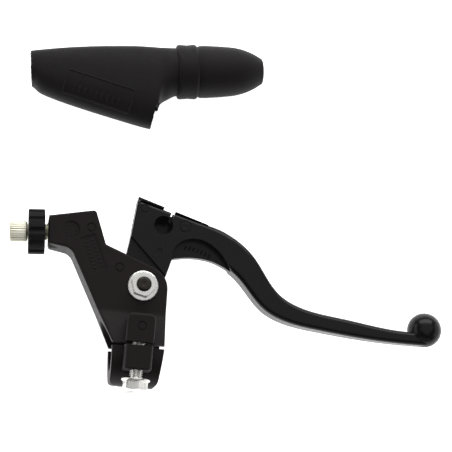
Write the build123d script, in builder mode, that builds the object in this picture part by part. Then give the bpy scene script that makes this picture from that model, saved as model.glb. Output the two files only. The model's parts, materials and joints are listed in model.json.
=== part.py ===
from build123d import *
from math import atan2, cos, degrees, radians, sin
import os

# Clutch lever assembly for a 22 mm handlebar, in millimetres.
#
# Frame: the origin is the centre of the handlebar bore, on its axis and half way along it.
# +X runs along the handlebar towards the lever's ball end, +Y runs from the bar towards the
# lever's head, and +Z is the pivot axis, so the front of the assembly faces up.
# The lever is drawn fully pulled in, and its front and back faces are mirror images about Z = 0.

# ---------------------------------------------------------------- driving dimensions

# Longer than any piece, for cuts that go right through
through = 120.0

# Handlebar clamp
bar_radius = 11.0            # 22 mm control bar
bar_clearance = 0.05
clamp_left = -11.6
clamp_right = 11.8
split_gap = 1.5              # gap between the perch and the cap
clamp_half_height = 14.5
boss_half_width = 6.3
boss_half_height = 22.0
perch_boss_top = 13.5
cap_boss_bottom = -11.5
boss_corner = 2.6            # rounding of the perch bosses' upper corners
boss_round = 1.2             # rounding round the perch bosses' ends
cap_boss_round = 2.4         # rounding of the cap bosses' corners
cap_foot_round = 0.8         # rounding of the cap bosses' lower edges
boss_root = 0.5              # metal left between a boss's root and the bar
bolt_hole_floor = 2.5        # metal left above the threaded hole in a perch boss
bolt_hole_clearance = 0.3    # radial, bolt in the cap's plain hole
cap_bottom = -17.5
cap_lean_left = 0.9          # the cap's ends lean in by this much towards the bottom
cap_lean_right = 1.3
cap_round_left = 2.2         # rounding of its lower corners
cap_round_right = 3.0
cap_flat = 0.15              # a narrow flat trims the bottom of the cap's round
bolt_offset = 16.5           # clamp bolt axis above and below the bar axis

# Fasteners
m6_radius = 3.0
thread_clearance = 0.05      # radial, thread drawn as a plain shank in a plain hole
hex_across_flats = 10.0
hex_chamfer = 0.5
thread_chamfer = 0.6
flange_radius = 6.4
flange_thickness = 1.6
bolt_head_height = 5.0       # hexagon and flange together
clamp_bolt_length = 20.0
front_bolt_gap = 3.9         # thread left showing under the cap on the front bolt
back_bolt_gap = 1.9          # the back bolt is screwed in further

# Pivot
pivot_y = 27.5
ear_inner = 4.8              # half the width of the fork's slot
ear_outer = 10.0
shoulder_radius = 4.0
running_clearance = 0.04     # radial, bush on the bolt's shoulder
bush_outer_radius = 5.0
shim_thickness = 0.5
shim_radius = 7.0
shim_float = 0.1             # end float left on each side of the lever
nut_flange_radius = 6.9
nut_flange_thickness = 1.5
nut_height = 5.8
nut_turn = 13.0
pivot_bolt_end = 7.0         # length past the fork's front face

# Perch arm
swell_end = 15.3             # up to here the body thins from the clamp's thickness to the fork's
arm_face = 10.6              # distance from the pivot axis to the arm's lever-side face
arm_face_lean = 21.6         # the face leans this far from upright, in degrees
fork_top = 10.0              # distance from the pivot axis to the fork's top edge
fork_top_lean = 20.3
fork_right = 11.2
arm_top_right = (-24.2, 60.2)
arm_tip_top = 6.2            # the arm's end face reaches this far above the adjuster's axis
arm_tip_bottom = 6.6         # and this far below it
arm_knee = (-33.8, 41.7)
taper_start = -27.0          # the arm thins from here to the barrel's mouth
taper_round = 20.0
arm_tip_half = 8.05
knee_round = 6.0
notch_round = 0.8
tip_round = 1.6
cast_round = 0.9

# Cable adjuster
adjuster_lean = 5.0          # adjuster axis above the X direction, in degrees
barrel_mouth = (-44.7, 49.7)
barrel_radius = 7.8
barrel_length = 22.0
barrel_sink = 0.4            # the round barrel starts this far behind the arm's end face
m8_radius = 4.0
lock_gap = 1.5               # thread showing between the lock wheel and the barrel
wheel_radius = 10.4
wheel_width = 7.5
wheel_lobes = 12
wheel_groove_radius = 1.7
wheel_groove_depth = 1.1
head_gap = 0.4               # thread showing between the knurled head and the lock wheel
knurl_radius = 4.7
knurl_length = 8.1
screw_reach = 15.0           # thread length inside the barrel
housing_radius = 2.9         # socket for the end ferrule of the cable's outer
housing_depth = 9.0
cable_radius = 1.3
perch_cable_radius = 2.5

# Lever
head_half = 6.5              # half the lever head's thickness
face_distance = 10.2         # distance from the pivot axis to the head's cable-side face
face_lean = 7.5
step_distance = 11.8         # distance from the pivot axis to the step above the fork
step_turn = 45.8             # direction of that distance, from +X
eye_radius = 8.6
head_shoulder = (-5.1, 68.2)  # the forged outline's corner, before the crest
head_top_left = (-5.3, 69.4)  # the crest's corner
blade_root = (28.0, 59.6)    # the head's straight top edge ends here
head_bevel = 0.6            # bevel along the long edges of the head's top
head_edge_round = 0.5
head_end = 40.0              # the head's full thickness ends here
blade_start = 62.0           # from here the blade only tapers
blade_half_start = 6.2
blade_half_end = 4.8
blade_round = 2.3            # rounding of the blade's long edges
ball_centre = (133.8, 21.8)
ball_radius = 8.0
web_half = 2.0               # half the web left between the two side pockets
nipple_centre = (7.2, 57.2)
nipple_radius = 4.35
nipple_floor = 1.6
notch_width = 4.8            # notch in the head's top edge, over the seat
notch_depth = 1.6
notch_centre = (9.4, 65.3)
channel_width = 1.5          # narrow way from the notch down to the seat
channel_centre = (10.7, 61.6)
channel_length = 6.0
cable_slot_width = 3.2

# The blade's inner edge from the throat to the ball, and its outer edge back from the ball
throat = (12.6, 42.6)
blade_inner = [
    (19.5, 44.0), (33.0, 42.9), (43.3, 37.0), (57.1, 23.0), (65.9, 19.0), (83.1, 16.2), (109.0, 14.2),
]
blade_outer = [(120.1, 20.0), (94.2, 22.8), (72.7, 26.3), (64.0, 30.6), (50.0, 47.6), (41.1, 54.6)]
# The pocket's rim, and two points below the blade that close it
pocket_rim = [(12.6, 41.5), (13.2, 47.4), (18.9, 51.9), (26.5, 51.9), (34.0, 47.4), (40.2, 39.4)]
pocket_foot = [(34.0, 34.0), (12.6, 34.0)]

# Dust cover and its sleeve, lying on the surface beside the lever
floor_z = -22.0
rubber_wall = 1.8
sleeve_lean = 7.5            # neck axis above the X direction, in degrees
neck_end = (8.2, 135.6)      # centre of the cover's round neck end
neck_radius = 11.6
neck_bore = 8.6
collar_radius = 13.1
collar_length = 9.6
nozzle_radius = 12.6
nozzle_straight = 16.0
nozzle_length = 32.0
nozzle_tip_radius = 6.6
nozzle_tip_bore = 4.2
spigot_radius = 8.2
spigot_length = 7.0
sleeve_wall = 2.2
cover_half_depth = 11.0
cover_tip_half_depth = 8.4
cover_round = 6.0
cover_inner_chamfer = 2.6
left_mouth = [(-66, 134.4), (-55, 134.4), (-53, 122.4), (-66, 122.4)]
clamp_mouth = [(-6, 110.2), (-6, 117.4), (4, 117.0), (4, 109.0)]
mouth_land = 1.4             # rubber left round the mouths, beyond the wall

# Plain panel and small marks left by the moulds
panel_centre = (-23.5, 40.2, 0)
panel_turn = (0, 0, -65)
panel_length = 17.0
panel_width = 7.4
mark_depth = 0.5
mark_line = 0.6
date_mark_radius = 4.0
date_mark_centre = (-34.5, 50.1)
date_mark_floor = 8.7        # the date mark's floor in front of the mid-plane
boss_mark_centre = (0.4, 7.8)
pin_mark_radius = 2.1
pin_mark_centres = [(-25.6, 51.9), (-11.3, 35.0)]
lever_date_radius = 3.0
lever_date_centre = (17.3, 57.6)
lever_pin_centre = (-2.0, 64.0)
lever_spot_centre = (6.4, 44.7)

# ---------------------------------------------------------------- places worked out from them

tongue_half = ear_inner - shim_thickness - shim_float
adjuster_axis = Vector(cos(radians(adjuster_lean)), sin(radians(adjuster_lean)), 0)
adjuster_origin = Vector(barrel_mouth[0], barrel_mouth[1], 0)
sleeve_axis = Vector(cos(radians(sleeve_lean)), sin(radians(sleeve_lean)), 0)
neck_z = floor_z + collar_radius + 0.2
neck_origin = Vector(neck_end[0], neck_end[1], neck_z)
pivot = Vector(0, pivot_y, 0)


def unit(angle):
    """Unit vector in the XY plane at an angle in degrees from +X."""
    return Vector(cos(radians(angle)), sin(radians(angle)), 0)


def crossing(angle_a, distance_a, angle_b, distance_b):
    """Meeting point of two lines, each given by its normal's angle and its distance from the pivot."""
    na = unit(angle_a)
    nb = unit(angle_b)
    det = na.X * nb.Y - na.Y * nb.X
    x = (distance_a * nb.Y - distance_b * na.Y) / det
    y = (na.X * distance_b - nb.X * distance_a) / det
    return (x, pivot_y + y)


def flat(point):
    """The XY pair of a vector."""
    return (point.X, point.Y)


def across(origin, axis, distance):
    """Plane square to an axis that lies in XY, a distance along it, with its own Y along +Z."""
    side = Vector(0, 0, 1).cross(axis)
    return Plane(origin + axis * distance, x_dir=side, z_dir=axis)


# The arm's lever-side face has its normal at this angle, and the fork's top edge at the next one
arm_face_turn = 180 + arm_face_lean
fork_top_turn = 90 - fork_top_lean
notch_corner = crossing(arm_face_turn, arm_face, fork_top_turn, fork_top)
fork_corner = crossing(fork_top_turn, fork_top, 0, fork_right)
fork_round = fork_top + 0.6

# The lever head's cable-side face has its normal at this angle
face_turn = 180 - face_lean
head_corner = crossing(face_turn, face_distance, step_turn, step_distance)
tongue_left = (-(eye_radius - 0.2), pivot_y + 15.0)
step_end = flat(pivot + unit(step_turn) * step_distance + unit(step_turn - 90) * 2.9)

# The blade's end inside the ball
blade_tip_low = (ball_centre[0], ball_centre[1] - ball_radius + 0.3)
blade_tip_high = (ball_centre[0], ball_centre[1] - 1.4)

# ---------------------------------------------------------------- perch body

with BuildPart() as perch_body:
    tip_side = Vector(0, 0, 1).cross(adjuster_axis)
    with BuildSketch() as arm_outline:
        with BuildLine():
            FilletPolyline(
                flat(adjuster_origin + tip_side * arm_tip_top),
                arm_top_right,
                notch_corner,
                fork_corner,
                (clamp_right, split_gap / 2),
                (clamp_left, split_gap / 2),
                arm_knee,
                flat(adjuster_origin - tip_side * arm_tip_bottom),
                radius=[tip_round, tip_round, notch_round, fork_round, 0, 0, knee_round, tip_round],
                close=True,
            )
        make_face()
    extrude(amount=clamp_half_height, both=True)
    # seen from the end, the plate swells from the fork's thickness to the clamp's
    with BuildSketch(Plane.YZ) as side_profile:
        with BuildLine():
            FilletPolyline(
                (split_gap / 2, clamp_half_height),
                (swell_end, ear_outer),
                (arm_top_right[1] + 3, ear_outer),
                (arm_top_right[1] + 3, -ear_outer),
                (swell_end, -ear_outer),
                (split_gap / 2, -clamp_half_height),
                radius=[0, 6, 0, 0, 6, 0],
                close=True,
            )
        make_face()
    extrude(amount=through, both=True, mode=Mode.INTERSECT)
    # the arm thins towards the adjuster barrel, and past its full thickness nothing is cut
    with BuildSketch(Plane.XZ) as arm_profile:
        with BuildLine():
            FilletPolyline(
                (barrel_mouth[0] - 2, arm_tip_half),
                (taper_start, ear_outer),
                (taper_start + 5, ear_outer + 0.01),
                (taper_start + 5, clamp_half_height + 1),
                (30, clamp_half_height + 1),
                (30, -clamp_half_height - 1),
                (taper_start + 5, -clamp_half_height - 1),
                (taper_start + 5, -ear_outer - 0.01),
                (taper_start, -ear_outer),
                (barrel_mouth[0] - 2, -arm_tip_half),
                radius=[0, taper_round, 0, 0, 0, 0, 0, 0, taper_round, 0],
                close=True,
            )
        make_face()
    extrude(amount=through, both=True, mode=Mode.INTERSECT)
    # rounded cast edges, all the way round both faces
    face_edges = perch_body.edges().filter_by(lambda e: abs(e.center().Z) > barrel_radius / 2)
    crease_edges = face_edges.filter_by(Axis.X) + face_edges.filter_by(Axis.Y)
    fillet(face_edges - crease_edges, cast_round)
    # adjuster barrel
    with BuildSketch(across(adjuster_origin, adjuster_axis, barrel_sink)):
        Circle(barrel_radius)
    extrude(amount=barrel_length - barrel_sink)
    # clamp bosses
    for side in (1, -1):
        with BuildSketch(Plane.XY.offset(side * boss_half_height)) as boss_face:
            with Locations((0, (perch_boss_top + split_gap / 2) / 2)):
                Rectangle(2 * boss_half_width, perch_boss_top - split_gap / 2)
            fillet(boss_face.vertices().group_by(Axis.Y)[-1], boss_corner)
        extrude(amount=-side * (boss_half_height - bar_radius - boss_root))
    boss_ends = perch_body.faces().filter_by(Axis.Z).filter_by(
        lambda f: abs(abs(f.center().Z) - boss_half_height) < 0.01
    )
    fillet(boss_ends.edges().filter_by(lambda e: e.center().Y > split_gap), boss_round)
    # handlebar bore, slot for the lever's tongue, cable way and bolt holes
    with BuildSketch(Plane.YZ):
        Circle(bar_radius + bar_clearance)
    extrude(amount=through, both=True, mode=Mode.SUBTRACT)
    with BuildSketch() as fork_slot:
        with BuildLine():
            slot_start = pivot + unit(arm_face_turn) * arm_face
            slot_top = slot_start + unit(arm_face_turn - 90) * 60
            slot_bottom = pivot - Vector(0, arm_face, 0)
            Line(flat(slot_top), flat(slot_start))
            RadiusArc(flat(slot_start), flat(slot_bottom), -arm_face)
            Polyline(flat(slot_bottom), (40, slot_bottom.Y), (40, slot_top.Y), flat(slot_top))
        make_face()
    extrude(amount=ear_inner, both=True, mode=Mode.SUBTRACT)
    with BuildSketch(across(adjuster_origin, adjuster_axis, -1)):
        Circle(m8_radius + thread_clearance)
    extrude(amount=screw_reach + 3, mode=Mode.SUBTRACT)
    with BuildSketch(across(adjuster_origin, adjuster_axis, 5)):
        Circle(perch_cable_radius)
    extrude(amount=40, mode=Mode.SUBTRACT)
    with BuildSketch(Plane.XY.offset(-ear_outer - 1)):
        with Locations(flat(pivot)):
            Circle(shoulder_radius + running_clearance)
    extrude(amount=ear_outer + 1, mode=Mode.SUBTRACT)
    with BuildSketch():
        with Locations(flat(pivot)):
            Circle(m6_radius + thread_clearance)
    extrude(amount=ear_outer + 1, mode=Mode.SUBTRACT)
    with BuildSketch(Plane.XZ.offset(-split_gap / 2)):
        with Locations((0, bolt_offset), (0, -bolt_offset)):
            Circle(m6_radius + thread_clearance)
    extrude(amount=-(perch_boss_top - bolt_hole_floor), mode=Mode.SUBTRACT)
    # plain recessed panel and round mould marks on the front face
    with BuildSketch(Plane.XY.offset(ear_outer)):
        with Locations(Location(panel_centre, panel_turn)):
            RectangleRounded(panel_length, panel_width, 0.8)
        with Locations(*pin_mark_centres):
            Circle(pin_mark_radius)
            Circle(pin_mark_radius - mark_line, mode=Mode.SUBTRACT)
    extrude(amount=-mark_depth, mode=Mode.SUBTRACT)
    with BuildSketch(Plane.XY.offset(date_mark_floor)):
        with Locations(date_mark_centre):
            Circle(date_mark_radius)
    extrude(amount=ear_outer, mode=Mode.SUBTRACT)
    with BuildSketch(Plane.XY.offset(boss_half_height)):
        with Locations(boss_mark_centre):
            Circle(pin_mark_radius)
            Circle(pin_mark_radius - mark_line, mode=Mode.SUBTRACT)
    extrude(amount=-mark_depth, mode=Mode.SUBTRACT)
perch_body.part.label = "perch_body"

# ---------------------------------------------------------------- clamp cap

with BuildPart() as clamp_cap:
    with BuildSketch(Plane.YZ.offset(clamp_left)) as cap_section:
        with BuildLine():
            cap_arc_y = cap_bottom + clamp_half_height
            Line((-split_gap / 2, -clamp_half_height), (-split_gap / 2, clamp_half_height))
            Line((-split_gap / 2, clamp_half_height), (cap_arc_y, clamp_half_height))
            RadiusArc((cap_arc_y, clamp_half_height), (cap_arc_y, -clamp_half_height), -clamp_half_height)
            Line((cap_arc_y, -clamp_half_height), (-split_gap / 2, -clamp_half_height))
        make_face()
    extrude(amount=clamp_right - clamp_left)
    # the ends lean in towards the bottom
    with BuildSketch() as cap_front:
        with BuildLine():
            FilletPolyline(
                (clamp_left, -split_gap / 2),
                (clamp_right, -split_gap / 2),
                (clamp_right - cap_lean_right, cap_bottom + cap_flat),
                (clamp_left + cap_lean_left, cap_bottom + cap_flat),
                radius=[0, 0, cap_round_right, cap_round_left],
                close=True,
            )
        make_face()
    extrude(amount=through, both=True, mode=Mode.INTERSECT)
    for side in (1, -1):
        with BuildSketch(Plane.XY.offset(side * boss_half_height)):
            with Locations((0, (cap_boss_bottom - split_gap / 2) / 2)):
                Rectangle(2 * boss_half_width, -cap_boss_bottom - split_gap / 2)
        extrude(amount=-side * (boss_half_height - bar_radius - boss_root))
    boss_sides = clamp_cap.edges().filter_by(Axis.Y).filter_by(
        lambda e: abs(abs(e.center().Z) - boss_half_height) < 0.01
    )
    fillet(boss_sides, cap_boss_round)
    boss_feet = clamp_cap.edges().filter_by(Axis.X).filter_by(
        lambda e: abs(abs(e.center().Z) - boss_half_height) < 0.01 and e.center().Y < cap_boss_bottom / 2
    )
    fillet(boss_feet, cap_foot_round)
    with BuildSketch(Plane.YZ):
        Circle(bar_radius + bar_clearance)
    extrude(amount=through, both=True, mode=Mode.SUBTRACT)
    with BuildSketch(Plane.XZ):
        with Locations((0, bolt_offset), (0, -bolt_offset)):
            Circle(m6_radius + bolt_hole_clearance)
    extrude(amount=-cap_bottom + 5, mode=Mode.SUBTRACT)
clamp_cap.part.label = "clamp_cap"

# ---------------------------------------------------------------- clamp bolts


def flanged_bolt(seat_y, offset):
    """Flanged hexagon bolt that points along +Y, with its flange's upper face at seat_y."""
    with BuildPart() as bolt:
        with BuildSketch(Plane.XZ.offset(-seat_y + bolt_head_height)):
            with Locations((0, offset)):
                RegularPolygon(hex_across_flats / 2, 6, major_radius=False, rotation=30)
        extrude(amount=-bolt_head_height)
        chamfer(bolt.faces().sort_by(Axis.Y)[0].edges(), hex_chamfer)
        with BuildSketch(Plane.XZ.offset(-seat_y + flange_thickness)):
            with Locations((0, offset)):
                Circle(flange_radius)
        extrude(amount=-flange_thickness)
        with BuildSketch(Plane.XZ.offset(-seat_y)):
            with Locations((0, offset)):
                Circle(m6_radius)
        extrude(amount=-clamp_bolt_length)
        chamfer(bolt.faces().sort_by(Axis.Y)[-1].edges(), thread_chamfer)
    return bolt.part


clamp_bolt_front = flanged_bolt(cap_boss_bottom - front_bolt_gap, bolt_offset)
clamp_bolt_front.label = "clamp_bolt_front"
clamp_bolt_back = flanged_bolt(cap_boss_bottom - back_bolt_gap, -bolt_offset)
clamp_bolt_back.label = "clamp_bolt_back"

# ---------------------------------------------------------------- pivot

with BuildPart() as pivot_bolt:
    with BuildSketch(Plane.XY.offset(-ear_outer - bolt_head_height)):
        with Locations(flat(pivot)):
            RegularPolygon(hex_across_flats / 2, 6, major_radius=False)
    extrude(amount=bolt_head_height)
    chamfer(pivot_bolt.faces().sort_by(Axis.Z)[0].edges(), hex_chamfer)
    with BuildSketch(Plane.XY.offset(-ear_outer - flange_thickness)):
        with Locations(flat(pivot)):
            Circle(flange_radius)
    extrude(amount=flange_thickness)
    with BuildSketch(Plane.XY.offset(-ear_outer)):
        with Locations(flat(pivot)):
            Circle(shoulder_radius)
    extrude(amount=ear_outer + ear_inner - 0.05)
    with BuildSketch():
        with Locations(flat(pivot)):
            Circle(m6_radius)
    extrude(amount=ear_outer + pivot_bolt_end)
    chamfer(pivot_bolt.faces().sort_by(Axis.Z)[-1].edges(), thread_chamfer)
pivot_bolt.part.label = "pivot_bolt"

with BuildPart() as pivot_nut:
    with BuildSketch(Plane.XY.offset(ear_outer)):
        with Locations(flat(pivot)):
            RegularPolygon(hex_across_flats / 2, 6, major_radius=False, rotation=nut_turn)
    extrude(amount=nut_height)
    chamfer(pivot_nut.faces().sort_by(Axis.Z)[-1].edges(), hex_chamfer)
    with BuildSketch(Plane.XY.offset(ear_outer)):
        with Locations(flat(pivot)):
            Circle(nut_flange_radius)
    extrude(amount=nut_flange_thickness)
    with BuildSketch(Plane.XY.offset(ear_outer)):
        with Locations(flat(pivot)):
            Circle(m6_radius + thread_clearance)
    extrude(amount=nut_height, mode=Mode.SUBTRACT)
pivot_nut.part.label = "pivot_nut"

with BuildPart() as pivot_bush:
    with BuildSketch(Plane.XY.offset(-tongue_half)):
        with Locations(flat(pivot)):
            Circle(bush_outer_radius)
            Circle(shoulder_radius + running_clearance, mode=Mode.SUBTRACT)
    extrude(amount=2 * tongue_half)
pivot_bush.part.label = "pivot_bush"


def pivot_shim(low_z, name):
    """Thin washer between the lever's eye and the fork, with its lower face at low_z."""
    with BuildPart() as shim:
        with BuildSketch(Plane.XY.offset(low_z)):
            with Locations(flat(pivot)):
                Circle(shim_radius)
                Circle(shoulder_radius + 2 * running_clearance, mode=Mode.SUBTRACT)
        extrude(amount=shim_thickness)
    shim.part.label = name
    return shim.part


pivot_shim_front = pivot_shim(ear_inner - shim_thickness, "pivot_shim_front")
pivot_shim_back = pivot_shim(-ear_inner, "pivot_shim_back")

# ---------------------------------------------------------------- cable adjuster

wheel_start = -lock_gap - wheel_width
head_start = wheel_start - head_gap - knurl_length

with BuildPart() as adjuster_screw:
    with BuildSketch(across(adjuster_origin, adjuster_axis, head_start)):
        Circle(knurl_radius)
    extrude(amount=knurl_length)
    chamfer(adjuster_screw.edges().filter_by(GeomType.CIRCLE), 0.4)
    with BuildSketch(across(adjuster_origin, adjuster_axis, head_start + knurl_length)):
        Circle(m8_radius)
    extrude(amount=screw_reach - head_start - knurl_length)
    with BuildSketch(across(adjuster_origin, adjuster_axis, head_start)):
        Circle(housing_radius)
    extrude(amount=housing_depth, mode=Mode.SUBTRACT)
    with BuildSketch(across(adjuster_origin, adjuster_axis, head_start)):
        Circle(cable_radius)
    extrude(amount=screw_reach - head_start, mode=Mode.SUBTRACT)
adjuster_screw.part.label = "adjuster_screw"

with BuildPart() as lock_wheel:
    with BuildSketch(across(adjuster_origin, adjuster_axis, wheel_start)):
        Circle(wheel_radius)
        groove_ring = wheel_radius + wheel_groove_radius - wheel_groove_depth
        with PolarLocations(groove_ring, wheel_lobes, start_angle=8):
            Circle(wheel_groove_radius, mode=Mode.SUBTRACT)
    extrude(amount=wheel_width)
    fillet(lock_wheel.edges().filter_by(lambda e: abs(e.tangent_at(0.5).dot(adjuster_axis)) < 0.1), 0.5)
    with BuildSketch(across(adjuster_origin, adjuster_axis, wheel_start)):
        Circle(m8_radius + thread_clearance)
    extrude(amount=wheel_width, mode=Mode.SUBTRACT)
lock_wheel.part.label = "lock_wheel"

# ---------------------------------------------------------------- lever

with BuildPart() as lever:
    with BuildSketch() as lever_outline:
        with BuildLine():
            Polyline(blade_root, head_shoulder, head_corner, step_end, throat)
            Spline(throat, *blade_inner, blade_tip_low)
            Line(blade_tip_low, blade_tip_high)
            Spline(blade_tip_high, *blade_outer, blade_root)
        make_face()
    extrude(amount=ball_radius, both=True)
    with BuildSketch(Plane.XZ) as lever_profile:
        with BuildLine():
            FilletPolyline(
                (-20, head_half),
                (head_end, head_half),
                (blade_start, blade_half_start),
                (ball_centre[0] + 1, blade_half_end),
                (ball_centre[0] + 1, -blade_half_end),
                (blade_start, -blade_half_start),
                (head_end, -head_half),
                (-20, -head_half),
                radius=[0, 40, 40, 0, 0, 40, 40, 0],
                close=True,
            )
        make_face()
    extrude(amount=through, both=True, mode=Mode.INTERSECT)
    side_edges = lever.edges().filter_by(lambda e: e.center().X < 0 and abs(e.center().Z) > head_half - 0.1)
    fillet(side_edges.filter_by(lambda e: e.center().Y > head_corner[1]), head_edge_round)
    blade_edges = lever.edges().filter_by(lambda e: e.length > 20 and e.center().X > 20)
    long_edges = blade_edges.filter_by(lambda e: abs(e.center().Z) > 3)
    fillet(long_edges, blade_round)
    # a low crest lifts the head's top edge towards its corner
    with BuildSketch() as head_crest:
        with BuildLine():
            Polyline(blade_root, head_top_left, head_corner, head_shoulder, close=True)
        make_face()
    extrude(amount=head_half, both=True)
    with Locations((ball_centre[0], ball_centre[1], 0)):
        Sphere(ball_radius)
    # bevel along both long edges of the head's top face
    head_top = Vector(*head_top_left)
    head_run = Vector(*blade_root) - head_top
    top_start = head_top - head_run.normalized() * 3
    top_plane = Plane(top_start, x_dir=(-head_run.Y, head_run.X, 0), z_dir=head_run)
    with BuildSketch(top_plane):
        for side in (1, -1):
            with BuildLine():
                Polyline(
                    (-head_bevel - 1, side * (head_half + 1)),
                    (1, side * (head_half + 1)),
                    (1, side * (head_half - head_bevel - 1)),
                    close=True,
                )
            make_face()
    extrude(amount=head_run.length + 3, mode=Mode.SUBTRACT)
    # tongue and eye
    with BuildSketch() as tongue:
        with BuildLine():
            Polyline(
                flat(Vector(*head_corner) + unit(step_turn) * 3),
                head_corner,
                tongue_left,
                (-eye_radius, pivot_y),
                (eye_radius, pivot_y),
                step_end,
                flat(Vector(*step_end) + Vector(0, 3)),
                close=True,
            )
        make_face()
        with Locations(flat(pivot)):
            Circle(eye_radius)
    extrude(amount=tongue_half, both=True)
    # side pockets
    for side in (1, -1):
        with BuildSketch(Plane.XY.offset(side * web_half)) as pocket:
            with BuildLine():
                Spline(*pocket_rim)
                Polyline(pocket_rim[-1], *pocket_foot, pocket_rim[0])
            make_face()
        extrude(amount=side * ball_radius, mode=Mode.SUBTRACT)
    # bush bore
    with BuildSketch(Plane.XY.offset(-ball_radius)):
        with Locations(flat(pivot)):
            Circle(bush_outer_radius)
    extrude(amount=2 * ball_radius, mode=Mode.SUBTRACT)
    # seat for the cable's nipple, its way in from the top edge, and the cable's slot
    with BuildSketch(Plane.XY.offset(-head_half + nipple_floor)):
        with Locations(nipple_centre):
            Circle(nipple_radius)
    extrude(amount=2 * head_half, mode=Mode.SUBTRACT)
    top_lean = degrees(atan2(head_run.Y, head_run.X))
    with BuildSketch(Plane.XY.offset(-cable_slot_width / 2)):
        with Locations(Location((*channel_centre, 0), (0, 0, top_lean))):
            Rectangle(channel_width, channel_length)
    extrude(amount=2 * head_half, mode=Mode.SUBTRACT)
    with BuildSketch(Plane.XY.offset(-ball_radius)):
        with Locations(Location((*notch_centre, 0), (0, 0, top_lean))):
            Rectangle(notch_width, 2 * notch_depth)
    extrude(amount=2 * ball_radius, mode=Mode.SUBTRACT)
    with BuildSketch():
        with BuildLine():
            Polyline(
                nipple_centre,
                (nipple_centre[0] - 20, nipple_centre[1] - 5.5),
                (nipple_centre[0] - 20, nipple_centre[1] + 20),
                (nipple_centre[0] + 3.4, nipple_centre[1] + 14),
                close=True,
            )
        make_face()
    extrude(amount=cable_slot_width / 2, both=True, mode=Mode.SUBTRACT)
    # round mould marks
    with BuildSketch(Plane.XY.offset(head_half)):
        with Locations(lever_date_centre):
            Circle(lever_date_radius)
            Circle(lever_date_radius - mark_line, mode=Mode.SUBTRACT)
        with Locations(lever_pin_centre):
            Circle(pin_mark_radius)
            Circle(pin_mark_radius - mark_line, mode=Mode.SUBTRACT)
        with Locations(lever_spot_centre):
            Circle(pin_mark_radius - mark_line)
    extrude(amount=-mark_depth, mode=Mode.SUBTRACT)
lever.part.label = "lever"

# ---------------------------------------------------------------- dust cover

cover_points = [
    (-61.7, 136.8),
    (-58.6, 121.6),
    (-52.4, 118.2),
    (-1.3, 107.0),
    (1.0, 118.3),
    flat(neck_origin - sleeve_axis.rotate(Axis.Z, 90) * neck_radius),
    flat(neck_origin + sleeve_axis.rotate(Axis.Z, 90) * neck_radius),
    (-15.1, 145.6),
]
cover_rounds = [2.0, 2.0, 3.0, 1.0, 2.0, 0, 0, 40]


def cover_body(inset, rounds):
    """Body of the dust cover, from its plan outline cut to its side profile, set in by a distance."""
    with BuildPart() as body:
        with BuildSketch(Plane.XY.offset(neck_z)):
            with BuildLine():
                FilletPolyline(cover_points, radius=rounds, close=True)
            make_face()
            if inset:
                offset(amount=-inset, kind=Kind.INTERSECTION)
        extrude(amount=2 * cover_half_depth, both=True)
        with BuildSketch(Plane.XZ):
            with BuildLine():
                Polyline(
                    (-70, neck_z + cover_tip_half_depth - inset),
                    (20, neck_z + cover_half_depth - inset),
                    (20, neck_z - cover_half_depth + inset),
                    (-70, neck_z - cover_tip_half_depth + inset),
                    close=True,
                )
            make_face()
        extrude(amount=-200, mode=Mode.INTERSECT)
    return body.part


def far_edges(body):
    """The edges round the front and back faces of a cover body."""
    return body.edges().filter_by(lambda e: abs(e.center().Z - neck_z) > cover_tip_half_depth / 2)


cover_body_outer = cover_body(0, cover_rounds)
cover_body_inner = cover_body(rubber_wall, [0] * len(cover_points))

with BuildPart() as cover_outside:
    add(cover_body_outer)
    fillet(far_edges(cover_outside), cover_round)

with BuildPart() as cover_inside:
    add(cover_body_inner)
    chamfer(far_edges(cover_inside), cover_inner_chamfer)

with BuildPart() as dust_boot:
    add(cover_outside.part)
    with BuildSketch(across(neck_origin, sleeve_axis, -12)):
        Circle(neck_radius)
    extrude(amount=12)
    add(cover_inside.part, mode=Mode.SUBTRACT)
    with BuildSketch(across(neck_origin, sleeve_axis, -14)):
        Circle(neck_bore)
    extrude(amount=15, mode=Mode.SUBTRACT)
    # mouths for the lever's blade and for the perch's clamp
    with BuildSketch(Plane.XY.offset(neck_z)):
        for mouth in (left_mouth, clamp_mouth):
            with BuildLine():
                Polyline(*mouth, close=True)
            make_face()
    extrude(amount=cover_tip_half_depth - rubber_wall - mouth_land, both=True, mode=Mode.SUBTRACT)
dust_boot.part.label = "dust_boot"

with BuildPart() as boot_sleeve:
    sleeve_plane = Plane(neck_origin, x_dir=sleeve_axis, z_dir=(0, 0, 1))
    with BuildSketch(sleeve_plane):
        with BuildLine():
            collar_end = collar_length
            tip = collar_length + nozzle_length
            shoulder = collar_length + nozzle_straight
            Polyline(
                (-spigot_length, spigot_radius - sleeve_wall),
                (-spigot_length, spigot_radius),
                (0.1, spigot_radius),
                (0.1, collar_radius - 0.6),
                (0.7, collar_radius),
                (collar_end - 0.6, collar_radius),
                (collar_end, collar_radius - 0.6),
                (collar_end + 0.6, nozzle_radius - 0.4),
                (collar_end + 1.2, nozzle_radius),
                (shoulder, nozzle_radius - 0.7),
            )
            Spline(
                (shoulder, nozzle_radius - 0.7),
                (shoulder + 9, nozzle_radius - 2.6),
                (tip - 2, nozzle_tip_radius + 1.4),
                (tip, nozzle_tip_radius - 1),
                tangents=((1, -0.06), (0.1, -1)),
            )
            Polyline(
                (tip, nozzle_tip_radius - 1),
                (tip, nozzle_tip_bore),
                (tip - 5, nozzle_tip_bore),
                (collar_end + 4, spigot_radius - sleeve_wall),
                (-spigot_length, spigot_radius - sleeve_wall),
            )
        make_face()
    revolve(axis=Axis(neck_origin, sleeve_axis))
boot_sleeve.part.label = "boot_sleeve"

# ---------------------------------------------------------------- export

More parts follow.
